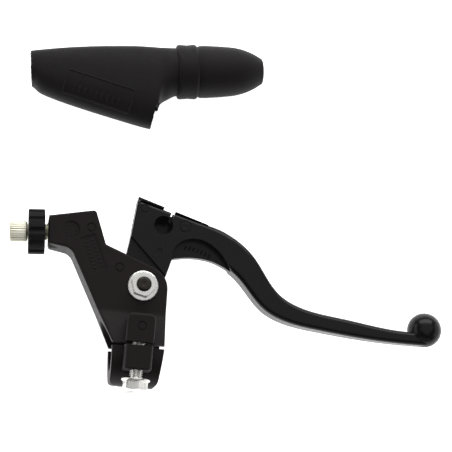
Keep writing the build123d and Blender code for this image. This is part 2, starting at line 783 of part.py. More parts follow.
pieces = [
    perch_body.part,
    clamp_cap.part,
    clamp_bolt_front,
    clamp_bolt_back,
    pivot_bolt.part,
    pivot_nut.part,
    pivot_bush.part,
    pivot_shim_front,
    pivot_shim_back,
    adjuster_screw.part,
    lock_wheel.part,
    lever.part,
    dust_boot.part,
    boot_sleeve.part,
]
os.makedirs("parts", exist_ok=True)
for piece in pieces:
    export_step(piece, f"parts/{piece.label}.step")
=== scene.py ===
"""Clutch lever assembly for a 22 mm handlebar, with its rubber dust cover lying beside it.

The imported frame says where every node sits. The cast bodies, the lever and the lock wheel keep their own
meshes and get their finishes here. The fasteners, the cable adjuster and the rubber are rebuilt with
threads, hexagons, knurling and soft moulded edges.
"""

import json
import logging
import math
from collections.abc import Callable, Mapping, Sequence
from dataclasses import dataclass, field
from enum import Enum

import bmesh
import bpy
from mathutils import Matrix, Vector, noise
from mathutils.bvhtree import BVHTree


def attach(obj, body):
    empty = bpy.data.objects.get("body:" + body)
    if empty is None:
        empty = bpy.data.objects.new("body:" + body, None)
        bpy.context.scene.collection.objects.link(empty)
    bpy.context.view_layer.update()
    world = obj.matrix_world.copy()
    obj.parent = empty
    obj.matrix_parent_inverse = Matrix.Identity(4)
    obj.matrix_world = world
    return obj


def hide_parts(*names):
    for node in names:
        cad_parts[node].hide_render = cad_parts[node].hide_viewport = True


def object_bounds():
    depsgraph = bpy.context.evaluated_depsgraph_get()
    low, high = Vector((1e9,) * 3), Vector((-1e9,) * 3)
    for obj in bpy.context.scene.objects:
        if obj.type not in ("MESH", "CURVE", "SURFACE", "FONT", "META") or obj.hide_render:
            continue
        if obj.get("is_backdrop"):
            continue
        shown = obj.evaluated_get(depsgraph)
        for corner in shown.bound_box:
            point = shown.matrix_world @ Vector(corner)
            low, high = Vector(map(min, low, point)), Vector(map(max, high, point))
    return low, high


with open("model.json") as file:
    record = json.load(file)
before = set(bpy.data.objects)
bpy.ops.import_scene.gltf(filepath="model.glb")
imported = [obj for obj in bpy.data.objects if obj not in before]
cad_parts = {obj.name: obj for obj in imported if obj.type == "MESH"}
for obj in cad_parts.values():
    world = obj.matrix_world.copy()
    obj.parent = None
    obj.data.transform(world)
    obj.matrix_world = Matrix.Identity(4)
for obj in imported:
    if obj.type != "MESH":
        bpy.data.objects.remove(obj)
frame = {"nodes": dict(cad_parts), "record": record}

MM = 0.001
log = logging.getLogger("clutch_lever")

Radius = float | Callable[[float], float]
Station = tuple[float, Radius]
Point = tuple[float, float]


# ------------------------------------------------------------------------------------------ finishes


def linear(hex_code: str) -> tuple[float, float, float, float]:
    """Turn an sRGB hex colour into the linear colour that a shader takes.

    Args:
        hex_code: The colour as "#rrggbb".

    Returns:
        Linear red, green and blue, and an alpha of 1.
    """
    parts = [int(hex_code[i : i + 2], 16) / 255 for i in (1, 3, 5)]
    red, green, blue = (c / 12.92 if c <= 0.04045 else ((c + 0.055) / 1.055) ** 2.4 for c in parts)
    return red, green, blue, 1.0


def add_node(
    tree: bpy.types.NodeTree, kind: str, inputs: Mapping[str | int, object] | None = None, **settings: object
) -> bpy.types.Node:
    """Add one node with its settings, and fill or link its inputs.

    Args:
        tree: The material's node tree.
        kind: Blender's name for the node type.
        inputs: A plain value, or an output to link from, for each input's name or number.
        settings: Properties set on the node itself.

    Returns:
        The new node.
    """
    made = tree.nodes.new(kind)
    for key, value in settings.items():
        setattr(made, key, value)
    for key, value in (inputs or {}).items():
        if isinstance(value, bpy.types.NodeSocket):
            tree.links.new(value, made.inputs[key])
        else:
            made.inputs[key].default_value = value
    return made


class Relief(Enum):
    """The fine shape that a finish leaves on a surface."""

    PEEL = "soft dimples of a sprayed or powder coat"
    PEBBLE = "fine pebbles from a spark-eroded mould"
    CLOUD = "uneven bloom of plating and casting"
    TURNED = "rings left by a turning tool"


@dataclass(frozen=True)
class Finish:
    """One real surface: a material and how it was finished.

    Colours are sRGB hex. Lengths are millimetres on the real object.
    """

    name: str
    colour: str
    drift_colour: str
    worn_colour: str
    roughness: float
    roughness_swing: float
    relief: Relief
    relief_size: float
    relief_depth: float
    metallic: float = 0.0
    ior: float = 1.5
    drift_size: float = 14.0
    edge_round: float = 0.25
    edge_wear: float = 0.4
    coat: float = 0.0
    coat_roughness: float = 0.1
    sheen: float = 0.0
    glow: float = 0.0
    specular: float = 0.5

    def material(self) -> bpy.types.Material:
        """Build this finish as a node material, or fetch the one built before."""
        made = bpy.data.materials.get(self.name)
        if made:
            return made
        made = bpy.data.materials.new(self.name)
        made.use_nodes = True
        tree = made.node_tree
        tree.nodes.clear()
        place = add_node(tree, "ShaderNodeTexCoord").outputs["Object"]
        drift = self.noise(tree, place, self.drift_size, detail=4.0)
        speck = self.noise(tree, place, self.drift_size / 9, detail=3.0)
        rounded = add_node(tree, "ShaderNodeBevel", {"Radius": self.edge_round * MM}, samples=4).outputs[0]
        worn = self.edge_mask(tree, rounded, speck)
        drifted = add_node(
            tree,
            "ShaderNodeMix",
            {0: drift, 6: linear(self.colour), 7: linear(self.drift_colour)},
            data_type="RGBA",
        ).outputs[2]
        colour = add_node(
            tree, "ShaderNodeMix", {0: worn, 6: drifted, 7: linear(self.worn_colour)}, data_type="RGBA"
        ).outputs[2]
        roughness = add_node(
            tree,
            "ShaderNodeMapRange",
            {
                "Value": speck,
                "From Min": 0.3,
                "From Max": 0.7,
                "To Min": self.roughness - self.roughness_swing,
                "To Max": self.roughness + self.roughness_swing,
            },
        ).outputs[0]
        bump = add_node(
            tree,
            "ShaderNodeBump",
            {
                "Height": self.height(tree, place),
                "Distance": self.relief_depth * MM,
                "Strength": 1.0,
                "Normal": rounded,
            },
        ).outputs[0]
        shader = add_node(
            tree,
            "ShaderNodeBsdfPrincipled",
            {
                "Base Color": colour,
                "Roughness": roughness,
                "Normal": bump,
                "Metallic": self.metallic,
                "IOR": self.ior,
                "Specular IOR Level": self.specular,
                "Coat Weight": self.coat,
                "Coat Roughness": self.coat_roughness,
                "Sheen Weight": self.sheen,
                "Sheen Roughness": 0.5,
                "Emission Color": linear("#ffffff"),
                "Emission Strength": self.glow,
            },
        )
        add_node(tree, "ShaderNodeOutputMaterial", {"Surface": shader.outputs[0]})
        return made

    @staticmethod
    def noise(
        tree: bpy.types.NodeTree, place: bpy.types.NodeSocket, size: float, detail: float
    ) -> bpy.types.NodeSocket:
        """Add soft noise whose patches are size millimetres across, and return its value output."""
        inputs = {"Vector": place, "Scale": 1 / (size * MM), "Detail": detail, "Roughness": 0.55}
        return add_node(tree, "ShaderNodeTexNoise", inputs).outputs[0]

    def edge_mask(
        self, tree: bpy.types.NodeTree, rounded: bpy.types.NodeSocket, speck: bpy.types.NodeSocket
    ) -> bpy.types.NodeSocket:
        """Mark the edges that rub thin, broken up by the speck noise.

        Args:
            tree: The material's node tree.
            rounded: The normal as if every edge had a small round.
            speck: The noise that breaks the wear up.

        Returns:
            A value from 0 on open faces to edge_wear along the edges.
        """
        flat = add_node(tree, "ShaderNodeNewGeometry").outputs["Normal"]
        agree = add_node(
            tree, "ShaderNodeVectorMath", {0: rounded, 1: flat}, operation="DOT_PRODUCT"
        ).outputs["Value"]
        edge = add_node(
            tree,
            "ShaderNodeMapRange",
            {"Value": agree, "From Min": 0.995, "From Max": 0.9, "To Min": 0.0, "To Max": self.edge_wear},
        ).outputs[0]
        return add_node(tree, "ShaderNodeMath", {0: edge, 1: speck}, operation="MULTIPLY").outputs[0]

    def height(self, tree: bpy.types.NodeTree, place: bpy.types.NodeSocket) -> bpy.types.NodeSocket:
        """Add the finish's relief and return its height output."""
        scale = 1 / (self.relief_size * MM)
        if self.relief is Relief.PEBBLE:
            return add_node(
                tree, "ShaderNodeTexVoronoi", {"Vector": place, "Scale": scale}, feature="SMOOTH_F1"
            ).outputs["Distance"]
        if self.relief is Relief.TURNED:
            return add_node(
                tree,
                "ShaderNodeTexWave",
                {"Vector": place, "Scale": scale / 3, "Distortion": 0.4, "Detail": 2.0},
                bands_direction="Z",
            ).outputs["Fac"]
        return self.noise(tree, place, self.relief_size, 2.0 if self.relief is Relief.PEEL else 5.0)


# Die-cast zinc aluminium, shot-blasted and powder coated. The coat is a warm black with a low sheen, and its
# dimples are drawn at 0.7 mm because the real 0.2 mm ones are too fine to show.
POWDER_COATED_CASTING = Finish(
    name="powder_coated_die_casting",
    colour="#191415",
    drift_colour="#201a1b",
    worn_colour="#454040",
    roughness=0.46,
    roughness_swing=0.06,
    relief=Relief.PEEL,
    relief_size=0.7,
    relief_depth=0.03,
    edge_wear=0.5,
    specular=0.12,
)

# Forged aluminium lever under stoved satin enamel, smoother than the casting, so its edges catch the light.
STOVED_ENAMEL = Finish(
    name="stoved_enamel_on_aluminium",
    colour="#0f0d0e",
    drift_colour="#151314",
    worn_colour="#413d3c",
    roughness=0.28,
    roughness_swing=0.04,
    relief=Relief.PEEL,
    relief_size=1.1,
    relief_depth=0.012,
    coat=0.15,
    coat_roughness=0.12,
    edge_wear=0.35,
    specular=0.11,
)

# Cold-forged steel, barrel zinc plated and clear passivated: bright, faintly blue, a little cloudy.
BRIGHT_ZINC = Finish(
    name="bright_zinc_plated_steel",
    colour="#e6e5e1",
    drift_colour="#d2d2d0",
    worn_colour="#f0efe9",
    roughness=0.26,
    roughness_swing=0.07,
    relief=Relief.CLOUD,
    relief_size=0.9,
    relief_depth=0.006,
    metallic=1.0,
    drift_size=3.0,
    edge_wear=0.5,
)

# Turned steel with a pale yellow passivate: a straw cast in the grooves of the knurl.
PALE_PASSIVATE = Finish(
    name="pale_passivated_turned_steel",
    colour="#dedccd",
    drift_colour="#ccc9b6",
    worn_colour="#f0ede0",
    roughness=0.34,
    roughness_swing=0.06,
    relief=Relief.TURNED,
    relief_size=0.5,
    relief_depth=0.006,
    metallic=1.0,
    drift_size=3.0,
    edge_wear=0.5,
)

# Steel with a hot black oxide, oiled: dark brown-black, bare metal on the thread's crests.
BLACK_OXIDE = Finish(
    name="black_oxide_steel",
    colour="#2a2624",
    drift_colour="#34302d",
    worn_colour="#77736f",
    roughness=0.42,
    roughness_swing=0.06,
    relief=Relief.CLOUD,
    relief_size=0.5,
    relief_depth=0.006,
    metallic=0.8,
    drift_size=3.0,
)

# Ground steel washers: plain grey with fine lines.
GROUND_STEEL = Finish(
    name="ground_steel_shim",
    colour="#b4b2ae",
    drift_colour="#a19f9b",
    worn_colour="#d6d4cf",
    roughness=0.3,
    roughness_swing=0.05,
    relief=Relief.TURNED,
    relief_size=0.4,
    relief_depth=0.004,
    metallic=1.0,
    drift_size=4.0,
)

# Oil-filled sintered bronze: brown-gold with open pores, drawn at 0.4 mm for the real 0.1 mm.
SINTERED_BRONZE = Finish(
    name="sintered_bronze",
    colour="#9a7444",
    drift_colour="#84602f",
    worn_colour="#c9a469",
    roughness=0.45,
    roughness_swing=0.08,
    relief=Relief.PEBBLE,
    relief_size=0.4,
    relief_depth=0.02,
    metallic=1.0,
    drift_size=3.0,
)

# Glass-filled nylon straight from the mould: dull black with a faint grey bloom.
MOULDED_NYLON = Finish(
    name="moulded_black_nylon",
    colour="#131313",
    drift_colour="#181818",
    worn_colour="#383838",
    roughness=0.5,
    roughness_swing=0.06,
    relief=Relief.CLOUD,
    relief_size=0.6,
    relief_depth=0.015,
    ior=1.53,
    drift_size=6.0,
    specular=0.1,
)

# Compression-moulded rubber from a spark-eroded mould: dull, slightly brown, with a soft grey sheen at the
# turn of each edge. The 0.15 mm pebbles are drawn at 0.6 mm so that they show.
MOULDED_RUBBER = Finish(
    name="moulded_rubber",
    colour="#131011",
    drift_colour="#191617",
    worn_colour="#353233",
    roughness=0.62,
    roughness_swing=0.06,
    relief=Relief.PEBBLE,
    relief_size=0.6,
    relief_depth=0.02,
    ior=1.52,
    drift_size=11.0,
    edge_round=0.5,
    edge_wear=0.3,
    sheen=0.04,
    specular=0.14,
)

# The table under the object: opal acrylic lit from below, so that it stays white and takes no shadow.
OPAL_ACRYLIC = Finish(
    name="opal_acrylic_light_table",
    colour="#ececec",
    drift_colour="#f2f2f2",
    worn_colour="#f6f6f6",
    roughness=0.85,
    roughness_swing=0.04,
    relief=Relief.CLOUD,
    relief_size=2.0,
    relief_depth=0.005,
    drift_size=60.0,
    edge_wear=0.0,
    glow=1.0,
)


# --------------------------------------------------------------------------------- measuring and making


def span(node: str, way: Vector) -> tuple[float, float]:
    """Measure how far a CAD node reaches along a direction at rest.

    Args:
        node: The node's name.
        way: The direction, of length 1.

    Returns:
        The lowest and the highest reach, in metres.
    """
    reaches = [way.dot(vertex.co) for vertex in frame["nodes"][node].data.vertices]
    return min(reaches), max(reaches)


def seat(node: str, axis: Vector, roll: float = 0.0) -> Matrix:
    """Find the place of a turned node: its own axis, starting at the node's lowest end along it.

    Args:
        node: The node's name.
        axis: The direction of its axis.
        roll: Degrees that the piece is turned round the axis.

    Returns:
        The matrix from the piece's own frame, whose z is the axis, to the row frame.
    """
    along = axis.normalized()
    hint = Vector((1, 0, 0)) if abs(along.x) < 0.5 else Vector((0, 0, 1))
    side = (hint - along * hint.dot(along)).normalized()
    up = along.cross(side)
    middle = [sum(span(node, way)) / 2 for way in (side, up)]
    origin = along * span(node, along)[0] + side * middle[0] + up * middle[1]
    turned = Matrix((side, up, along)).transposed().to_4x4()
    return Matrix.Translation(origin) @ turned @ Matrix.Rotation(math.radians(roll), 4, "Z")


def joint_axis(name: str) -> Vector:
    """Read a joint's axis from the record."""
    return Vector(next(j for j in frame["record"]["behaviour"]["joints"] if j["name"] == name)["axis"])


def mesh_object(
    name: str, points: Sequence[Sequence[float]], faces: Sequence[Sequence[int]]
) -> bpy.types.Object:
    """Make a smooth-shaded object whose edges over 32 degrees stay crisp.

    Args:
        name: The piece's name.
        points: Its points in metres.
        faces: Its faces, as point numbers.

    Returns:
        The object, linked to the scene.
    """
    mesh = bpy.data.meshes.new(name)
    mesh.from_pydata([tuple(p) for p in points], [], [tuple(f) for f in faces])
    shell = bmesh.new()
    shell.from_mesh(mesh)
    bmesh.ops.recalc_face_normals(shell, faces=shell.faces)
    shell.to_mesh(mesh)
    shell.free()
    mesh.shade_smooth()
    mesh.set_sharp_from_angle(angle=math.radians(32))
    made = bpy.data.objects.new(name, mesh)
    bpy.context.scene.collection.objects.link(made)
    return made


def dress(piece: bpy.types.Object, finish: Finish) -> None:
    """Give a whole piece one finish."""
    material = finish.material()
    if piece.material_slots:
        for held in piece.material_slots:
            held.material = material
    else:
        piece.data.materials.append(material)


def stand_in(piece: bpy.types.Object, finish: Finish, node: str, body: str) -> None:
    """Dress a detailed piece and let it stand for a CAD node.

    Args:
        piece: The detailed piece.
        finish: Its finish.
        node: The node that it replaces.
        body: The body that it rides on.
    """
    dress(piece, finish)
    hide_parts(node)
    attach(piece, body)
    log.info("%s built for %s", piece.name, node)


@dataclass
class TurnedPiece:
    """A closed body of rings round one axis, in millimetres.

    Its stations run in order along the surface, each a height and a radius. A radius may be a function of
    the angle, which gives hexagons, knurls and threads. A body that starts on the axis is closed at both
    tips, and any other joins its last ring to its first, as a nut does.
    """

    name: str
    around: int = 72
    stations: list[Station] = field(default_factory=list)

    def to(self, *stations: Station) -> "TurnedPiece":
        """Carry the surface on through these stations."""
        self.stations.extend(stations)
        return self

    def thread(self, start: float, end: float, crest: float, pitch: float) -> "TurnedPiece":
        """Cut a right-hand thread between two heights, with a chamfered end.

        Args:
            start: Height where the thread runs out.
            end: Height of the threaded end.
            crest: Outer radius.
            pitch: Rise in one turn.

        Returns:
            This piece.
        """
        depth = 0.61 * pitch
        steps = max(2, round((end - start) / pitch * 8))
        for step in range(steps + 1):
            height = start + (end - start) * step / steps
            limit = crest - max(0.0, depth - (end - height))
            fade = min(1.0, (height - start) / (0.7 * pitch))

            def radius(
                angle: float, height: float = height, limit: float = limit, fade: float = fade
            ) -> float:
                """The helix at this height."""
                turn = (height / pitch - angle / math.tau) % 1.0
                rise = min(1.0, max(0.0, (abs(turn - 0.5) * 2 - 0.15) / 0.7))
                return min(limit, crest - depth * fade * (1 - rise))

            self.to((height, radius))
        return self

    def build(self, place: Matrix) -> bpy.types.Object:
        """Make the mesh and put it in its place.

        Args:
            place: The matrix from the piece's own frame to the row frame.

        Returns:
            The placed object.
        """
        points: list[tuple[float, float, float]] = []
        rings: list[list[int]] = []
        for height, radius in self.stations:
            if radius == 0:
                rings.append([len(points)] * self.around)
                points.append((0.0, 0.0, height * MM))
                continue
            rings.append(list(range(len(points), len(points) + self.around)))
            for step in range(self.around):
                angle = math.tau * step / self.around
                reach = (radius(angle) if callable(radius) else radius) * MM
                points.append((reach * math.cos(angle), reach * math.sin(angle), height * MM))
        if self.stations[0][1] != 0:
            rings.append(rings[0])
        faces = []
        for low, high in zip(rings, rings[1:]):
            for step in range(self.around):
                after = (step + 1) % self.around
                corners = dict.fromkeys((low[step], low[after], high[after], high[step]))
                if len(corners) > 2:
                    faces.append(tuple(corners))
        made = mesh_object(self.name, points, faces)
        made.matrix_world = place
        return made


def hexagon(flats: float, limit: float = math.inf, least: float = 0.0) -> Callable[[float], float]:
    """The radius of a hexagon at each angle.

    Args:
        flats: Width across the flats.
        limit: No point is further out than this, which rounds the corners or chamfers them.
        least: No point is further in than this, which runs the hexagon into a flange.

    Returns:
        The radius as a function of the angle.
    """

    def radius(angle: float) -> float:
        """The hexagon's reach at this angle."""
        folded = (angle + math.pi / 6) % (math.pi / 3) - math.pi / 6
        return max(least, min(limit, flats / 2 / math.cos(folded)))

    return radius


def straight_knurl(crest: float, depth: float, teeth: int) -> Callable[[float], float]:
    """The radius of a knurl whose teeth run along the axis, as a function of the angle."""

    def radius(angle: float) -> float:
        """The knurl's reach at this angle."""
        turn = (angle * teeth / math.tau) % 1.0
        return crest - depth * min(1.0, abs(turn - 0.5) * 2.6)

    return radius


@dataclass
class FlangedHead:
    """A hexagon with a chamfered, dished face and a round flange under it, in millimetres."""

    flats: float = 10.0
    height: float = 5.0
    flange_radius: float = 6.4
    face_radius: float = 4.55
    dish_radius: float = 3.3
    dish_depth: float = 0.4
    rim: float = 0.9
    corner_radius: float = 5.68
    cone_radius: float = 4.6

    def on(self, piece: TurnedPiece) -> TurnedPiece:
        """Build the head at the start of a piece, from its face at height 0 to its bearing face.

        Args:
            piece: An empty turned piece.

        Returns:
            The same piece, ready for its shank.
        """
        piece.to((self.dish_depth, 0), (self.dish_depth, self.dish_radius - 0.5), (0.08, self.dish_radius))
        piece.to((0.0, self.dish_radius + 0.15))
        for step in range(7):
            drop = 0.12 * step
            piece.to((drop, hexagon(self.flats, self.face_radius + drop * 1.73)))
        cone_top = self.height - self.rim - 1.0
        cone_foot = self.height - self.rim
        for step in range(9):
            share = step / 8
            cone = self.cone_radius + (self.flange_radius - 0.35 - self.cone_radius) * share**1.4
            height = cone_top + (cone_foot - cone_top) * share
            piece.to((height, hexagon(self.flats, max(self.corner_radius, cone), cone)))
        piece.to((cone_foot + 0.12, self.flange_radius - 0.1), (cone_foot + 0.3, self.flange_radius))
        return piece.to((self.height - 0.15, self.flange_radius), (self.height, self.flange_radius - 0.15))


# -------------------------------------------------------------------------------------- sub-assemblies


@dataclass
class Embossing:
    """Low rounded lines raised on a front face, drawn in the face's own plane in millimetres.

    Each line is a closed bar with the same section all along: across and rise are shares of its width and
    height. Its foot is sunk a little into the ground, and its ends run down to the foot.
    """

    name: str
    ground: bpy.types.Object
    centre: Point
    turn: float
    width: float = 0.7
    height: float = 0.3
    section: tuple[Point, ...] = ((-0.5, -0.3), (-0.32, 0.6), (0, 1), (0.32, 0.6), (0.5, -0.3))
    foot: float = -0.3
    stride: float = 0.5
    above: float = 0.1
    points: list[Vector] = field(default_factory=list)
    faces: list[Sequence[int]] = field(default_factory=list)

    def __post_init__(self) -> None:
        """Index the ground's surface."""
        mesh = self.ground.data
        corners = [vertex.co for vertex in mesh.vertices]
        self.surface = BVHTree.FromPolygons(corners, [face.vertices for face in mesh.polygons])

    def row_point(self, spot: Point) -> Vector:
        """Turn a point in the drawing's own plane into a point in the row frame, at height 0."""
        turned = Matrix.Rotation(math.radians(self.turn), 3, "Z") @ Vector((*spot, 0))
        return (turned + Vector((*self.centre, 0))) * MM

    def run(self, corners: Sequence[Point], closed: bool) -> None:
        """Raise one line through the corners, tapered at its ends unless it closes on itself.

        Args:
            corners: The line's corners in the drawing's plane.
            closed: Whether the last corner joins the first.
        """
        stops = [self.row_point(corner) for corner in corners]
        if closed:
            stops.append(stops[0])
        spots: list[tuple[Vector, Vector, float]] = []
        for start, end in zip(stops, stops[1:]):
            step = end - start
            count = max(2, round(step.length / (self.stride * MM)))
            spots.extend((start + step * (k / count), step.normalized(), 1.0) for k in range(count))
        if not closed:
            spots.append((stops[-1], (stops[-1] - stops[-2]).normalized(), 0.0))
            spots[0] = (*spots[0][:2], 0.0)
        base, corners_round = len(self.points), len(self.section)
        for spot, way, full in spots:
            side = Vector((-way.y, way.x, 0))
            for across, rise in self.section:
                at = spot + side * (across * self.width * MM)
                start = Vector((at.x, at.y, self.above))
                hit, normal, _, _ = self.surface.ray_cast(start, Vector((0, 0, -1)))
                lift = rise * full + self.foot * (1 - full)
                self.points.append(hit + normal * (lift * self.height * MM))
        total = len(spots)
        for step in range(total if closed else total - 1):
            here, after = base + step * corners_round, base + (step + 1) % total * corners_round
            for low in range(corners_round):
                high = (low + 1) % corners_round
                self.faces.append((here + low, here + high, after + high, after + low))
        if not closed:
            last = base + (total - 1) * corners_round
            self.faces.append(tuple(range(base + corners_round - 1, base - 1, -1)))
            self.faces.append(tuple(range(last, last + corners_round)))

    def line(self, start: Point, end: Point) -> None:
        """Raise one straight line."""
        self.run((start, end), closed=False)

    def spokes(self, count: int, inner: float, outer: float) -> None:
        """Raise short spokes round the centre, as on a date dial."""
        for step in range(count):
            angle = math.tau * step / count
            way = Vector((math.cos(angle), math.sin(angle)))
            self.line(tuple(way * inner), tuple(way * outer))

    def rectangle(self, length: float, width: float) -> None:
        """Raise a rectangle round the centre."""
        corners = [(length / 2 * x, width / 2 * y) for x, y in ((-1, 1), (1, 1), (1, -1), (-1, -1))]
        self.run(corners, closed=True)

    def finish(self, finish: Finish, slot: str, body: str) -> bpy.types.Object:
        """Make the piece, dress it and let it ride on its body."""
        made = mesh_object(self.name, self.points, self.faces)
        dress(made, finish)
        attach(made, body)
        log.info("%s embossed", self.name)
        return made


@dataclass
class Perch:
    """The cast perch, which carries the pivot and the cable adjuster. Millimetres and degrees."""

    panel_centre: Point = (-23.5, 40.2)
    panel_turn: float = -65.0
    bars: int = 8
    bar_pitch: float = 1.8
    dial_centre: Point = (-34.5, 50.1)
    dial_spokes: int = 10
    dial_inner: float = 1.7
    dial_outer: float = 3.3

    def build(self) -> None:
        """Dress the casting."""
        casting = frame["nodes"]["perch_body"]
        dress(casting, POWDER_COATED_CASTING)
        centre = self.panel_centre
        label = Embossing("perch_panel_bars", casting, centre, self.panel_turn, width=0.8, height=0.3)
        for step in range(self.bars):
            place = (step - (self.bars - 1) / 2) * self.bar_pitch
            label.line((place, 0.7), (place + 0.5, 2.4))
            label.line((place, -2.5), (place + 0.5, -0.6))
        label.finish(POWDER_COATED_CASTING, "cast_black", "perch")
        dial = Embossing("perch_date_dial", casting, self.dial_centre, 0.0, width=0.6, height=0.25)
        dial.spokes(self.dial_spokes, self.dial_inner, self.dial_outer)
        dial.finish(POWDER_COATED_CASTING, "cast_black", "perch")
        log.info("perch dressed in %s", POWDER_COATED_CASTING.name)


@dataclass
class ClampBolt:
    """One hexagon flange bolt of the handlebar clamp, in millimetres."""

    node: str
    roll: float
    head: FlangedHead = field(default_factory=FlangedHead)
    thread_radius: float = 3.0
    pitch: float = 1.0
    length: float = 20.0

    def build(self) -> None:
        """Forge the bolt along +Y, head end first."""
        piece = self.head.on(TurnedPiece(f"{self.node}_detailed"))
        piece.to((self.head.height, self.thread_radius))
        piece.thread(self.head.height + 0.2, self.head.height + self.length, self.thread_radius, self.pitch)
        piece.to((self.head.height + self.length, 0))
        made = piece.build(seat(self.node, Vector((0, 1, 0)), self.roll))
        stand_in(made, BRIGHT_ZINC, self.node, "cap")


@dataclass
class Clamp:
    """The lower half of the handlebar clamp and its two bolts."""

    front_roll: float = 12.0
    back_roll: float = 40.0

    def build(self) -> None:
        """Dress the cap and build both bolts."""
        dress(frame["nodes"]["clamp_cap"], POWDER_COATED_CASTING)
        ClampBolt("clamp_bolt_front", self.front_roll).build()
        ClampBolt("clamp_bolt_back", self.back_roll).build()
        log.info("clamp cap dressed")


@dataclass
class Pivot:
    """The pivot bolt, its nut, the two shims and the lever's bush, in millimetres."""

    head: FlangedHead = field(default_factory=FlangedHead)
    shoulder_radius: float = 4.0
    shoulder_length: float = 14.75
    thread_radius: float = 3.0
    pitch: float = 1.0
    length: float = 32.0
    nut_height: float = 5.8
    nut_flats: float = 10.0
    nut_flange: float = 6.9
    nut_bore: float = 3.05
    nut_face: float = 5.4
    nut_roll: float = 17.0

    def bolt(self) -> None:
        """Turn the pivot bolt: dished head at the back, plain shoulder, threaded end in front."""
        piece = self.head.on(TurnedPiece("pivot_bolt_detailed"))
        shoulder_end = self.head.height + self.shoulder_length
        piece.to((self.head.height, self.shoulder_radius), (shoulder_end - 0.3, self.shoulder_radius))
        piece.to((shoulder_end, self.shoulder_radius - 0.3), (shoulder_end, self.thread_radius))
        piece.thread(shoulder_end + 0.2, self.length, self.thread_radius, self.pitch)
        piece.to((self.length, 1.1), (self.length - 0.3, 0.8), (self.length - 0.3, 0))
        made = piece.build(seat("pivot_bolt", Vector((0, 0, 1)), 25.0))
        stand_in(made, BLACK_OXIDE, "pivot_bolt", "perch")

    def nut(self) -> None:
        """Form the flanged nut, countersunk at its face."""
        piece = TurnedPiece("pivot_nut_detailed", around=96)
        rim = self.nut_flange
        piece.to((0, self.nut_bore), (0, rim - 0.3), (0.12, rim - 0.08), (0.4, rim), (0.9, rim))
        piece.to((1.15, rim - 0.1))
        for step in range(9):
            share = step / 8
            cone = rim - 0.25 - (rim - 5.0) * share
            piece.to((1.25 + 0.35 * share, hexagon(self.nut_flats, max(5.7, cone), cone)))
        for step in range(7):
            drop = 0.12 * (6 - step)
            piece.to((self.nut_height - drop, hexagon(self.nut_flats, self.nut_face + drop * 1.2)))
        piece.to((self.nut_height, self.nut_bore + 0.35), (self.nut_height - 0.3, self.nut_bore))
        made = piece.build(seat("pivot_nut", Vector((0, 0, 1)), self.nut_roll))
        stand_in(made, BRIGHT_ZINC, "pivot_nut", "perch")

    def build(self) -> None:
        """Build the bolt and the nut, and dress the shims and the bush."""
        self.bolt()
        self.nut()
        dress(frame["nodes"]["pivot_shim_front"], GROUND_STEEL)
        dress(frame["nodes"]["pivot_shim_back"], GROUND_STEEL)
        dress(frame["nodes"]["pivot_bush"], SINTERED_BRONZE)
        log.info("shims and bush dressed")


@dataclass
class CableAdjuster:
    """The hollow adjuster screw with its knurled head, and the lock wheel, in millimetres."""

    knurl_radius: float = 4.7
    knurl_depth: float = 0.3
    knurl_teeth: int = 30
    knurl_length: float = 8.1
    socket_radius: float = 2.9
    socket_depth: float = 9.0
    thread_radius: float = 4.0
    pitch: float = 1.25
    length: float = 32.5
    cable_bore: float = 1.3

    def screw(self) -> None:
        """Turn the screw from its knurled end inwards, then back out through its bore."""
        piece = TurnedPiece("adjuster_screw_detailed", around=180)
        knurl = straight_knurl(self.knurl_radius, self.knurl_depth, self.knurl_teeth)
        piece.to((0.25, self.socket_radius), (0, self.socket_radius + 0.25), (0, self.knurl_radius - 0.6))
        piece.to((0.35, self.knurl_radius - self.knurl_depth), (0.65, knurl))
        piece.to((self.knurl_length - 0.65, knurl), (self.knurl_length - 0.35, 4.4), (self.knurl_length, 4.1))
        piece.to((self.knurl_length, 3.3), (self.knurl_length + 0.3, 3.3))
        piece.thread(self.knurl_length + 0.4, self.length, self.thread_radius, self.pitch)
        piece.to((self.length, self.cable_bore), (self.socket_depth, self.cable_bore))
        piece.to((self.socket_depth, self.socket_radius))
        made = piece.build(seat("adjuster_screw", -joint_axis("adjuster_travel")))
        stand_in(made, PALE_PASSIVATE, "adjuster_screw", "adjuster")

    def build(self) -> None:
        """Build the screw and dress the lock wheel."""
        self.screw()
        dress(frame["nodes"]["lock_wheel"], MOULDED_NYLON)
        log.info("lock wheel dressed")


@dataclass
class Lever:
    """The clutch lever: a pocketed head and a curved blade with a ball end. Millimetres and degrees."""

    bars_centre: Point = (24.2, 47.7)
    bars_turn: float = -15.0
    bars: int = 7
    bar_pitch: float = 1.9
    bar_half_length: float = 1.1
    sag: float = 0.02
    dial_centre: Point = (17.3, 57.6)
    dial_spokes: int = 8
    dial_inner: float = 0.8
    dial_outer: float = 2.0

    def build(self) -> None:
        """Dress the lever and raise its plain bars and its date dial."""
        forging = frame["nodes"]["lever"]
        dress(forging, STOVED_ENAMEL)
        centre = self.bars_centre
        label = Embossing("lever_web_bars", forging, centre, self.bars_turn, width=0.8, height=0.35)
        for step in range(self.bars):
            place = (step - (self.bars - 1) / 2) * self.bar_pitch
            middle = -self.sag * place**2
            low, high = middle - self.bar_half_length, middle + self.bar_half_length
            label.line((place - 0.2, low), (place + 0.2, high))
        label.finish(STOVED_ENAMEL, "lever_black", "lever")
        dial = Embossing("lever_date_dial", forging, self.dial_centre, 0.0, width=0.5, height=0.25)
        dial.spokes(self.dial_spokes, self.dial_inner, self.dial_outer)
        dial.finish(STOVED_ENAMEL, "lever_black", "lever")
        log.info("lever dressed in %s", STOVED_ENAMEL.name)


